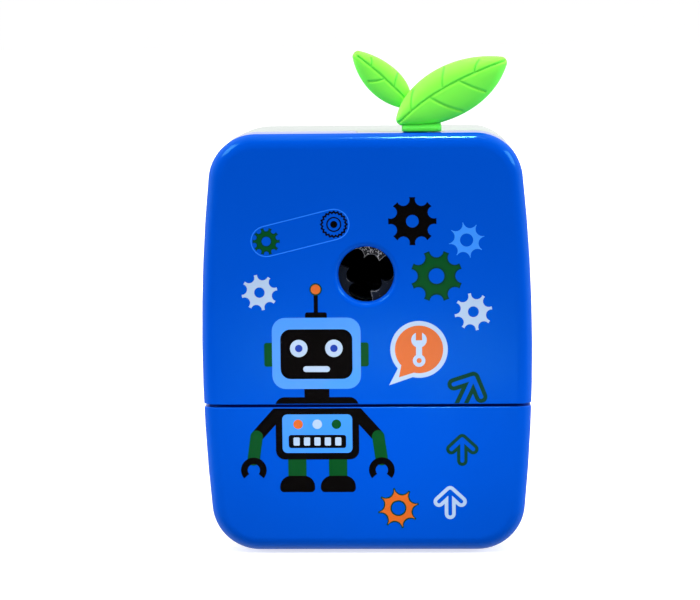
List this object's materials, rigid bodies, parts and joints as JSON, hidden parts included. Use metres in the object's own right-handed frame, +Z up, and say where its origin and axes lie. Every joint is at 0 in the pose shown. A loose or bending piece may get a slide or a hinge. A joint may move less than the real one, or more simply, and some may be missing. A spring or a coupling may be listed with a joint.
{
  "type": "pencil sharpener",
  "caption": "Hand-cranked auto-feed desk pencil sharpener: sprung front plate with jaws and sprout lever, helical cutter, crank and shavings drawer.",
  "frame": {"origin": "on the surface it stands on, under the middle of the object's length and width", "axes": "+X to the right seen from the front, +Y to the back where the crank is, +Z up; the pencil goes in along +Y"},
  "size_m": [0.079, 0.108, 0.1209],
  "materials": {
    "blue_plastic": "glossy moulded",
    "white_plastic": "satin moulded",
    "green_soft": "matte soft-touch",
    "green_plastic": "satin moulded",
    "black_metal": "fine grained, blackened",
    "dark_plastic": "fine texture",
    "grey_plastic": "fine texture",
    "ivory_plastic": "self-lubricating bush",
    "steel": "turned",
    "spring_steel": "drawn wire",
    "zinc": "bright zinc plated",
    "cutter_steel": "ground, hardened",
    "bronze": "sintered",
    "rubber": "matte"
  },
  "bodies": {
    "casing": {"body_shell": "white_plastic", "bulkhead": "white_plastic", "guide_bushes": "ivory_plastic", "bulkhead_screws": "zinc", "gear_housing": "grey_plastic", "housing_screws": "zinc", "shaft_bush": "bronze", "rubber_feet": "rubber", "feed_spring_left": "spring_steel", "feed_spring_right": "spring_steel"},
    "front_plate": {"face_plate": "blue_plastic", "jaw_cover": "dark_plastic", "jaw_pins": "steel", "cover_screws": "zinc", "guide_rod_left": "steel", "guide_rod_right": "steel", "rod_clips": "zinc", "ring_spring": "spring_steel"},
    "jaw_lever": {"cam_ring": "grey_plastic", "leaf_lever": "green_soft"},
    "jaw_a": {"jaw_1": "black_metal"},
    "jaw_b": {"jaw_2": "black_metal"},
    "jaw_c": {"jaw_3": "black_metal"},
    "crank": {"cutter_carrier": "dark_plastic", "cutter_axle": "steel", "crank_shaft": "steel", "shaft_clip": "zinc", "crank_arm": "white_plastic", "crank_screw": "zinc", "knob_axle": "zinc"},
    "cutter": {"helical_cutter": "cutter_steel", "cutter_pinion": "steel"},
    "knob": {"crank_knob": "green_plastic"},
    "drawer": {"drawer_front": "blue_plastic", "drawer_bin": "white_plastic"}
  },
  "joints": [
    {"name": "feed_slide", "type": "slide", "parent": "casing", "child": "front_plate", "axis": [0, -1, 0], "range_m": [0, 0.03], "stiffness_N_per_m": 180, "springref_m": -0.02, "deforming": ["feed_spring_left", "feed_spring_right"]},
    {"name": "lever_swing", "type": "hinge", "parent": "front_plate", "child": "jaw_lever", "pos_m": [0, -0.0468, 0.068], "axis": [0, -1, 0], "range_deg": [0, 16.5], "stiffness_Nm_per_rad": 0.12, "springref_deg": -14.32, "deforming": ["ring_spring"]},
    {"name": "jaw_a_pivot", "type": "hinge", "parent": "front_plate", "child": "jaw_a", "pos_m": [0.01565, -0.0497, 0.07464], "axis": [0, 1, 0], "range_deg": [0, 14.5]},
    {"name": "jaw_b_pivot", "type": "hinge", "parent": "front_plate", "child": "jaw_b", "pos_m": [-0.01358, -0.0497, 0.07823], "axis": [0, 1, 0], "range_deg": [0, 14.5]},
    {"name": "jaw_c_pivot", "type": "hinge", "parent": "front_plate", "child": "jaw_c", "pos_m": [-0.00207, -0.0497, 0.05113], "axis": [0, 1, 0], "range_deg": [0, 14.5]},
    {"name": "crank_turn", "type": "hinge", "parent": "casing", "child": "crank", "pos_m": [0, 0.02, 0.068], "axis": [0, 1, 0], "continuous": true},
    {"name": "cutter_spin", "type": "hinge", "parent": "crank", "child": "cutter", "pos_m": [0, -0.005, 0.062], "axis": [0, 0.9869, 0.1616], "continuous": true},
    {"name": "knob_spin", "type": "hinge", "parent": "crank", "child": "knob", "pos_m": [0, 0.0301, 0.026], "axis": [0, 1, 0], "continuous": true},
    {"name": "drawer_slide", "type": "slide", "parent": "casing", "child": "drawer", "axis": [0, -1, 0], "range_m": [0, 0.055]}
  ],
  "couplings": [
    {"joint": "jaw_a_pivot", "follows": "lever_swing", "ratio": 0.87879},
    {"joint": "jaw_b_pivot", "follows": "lever_swing", "ratio": 0.87879},
    {"joint": "jaw_c_pivot", "follows": "lever_swing", "ratio": 0.87879},
    {"joint": "cutter_spin", "follows": "crank_turn", "ratio": -1.8571}
  ]
}
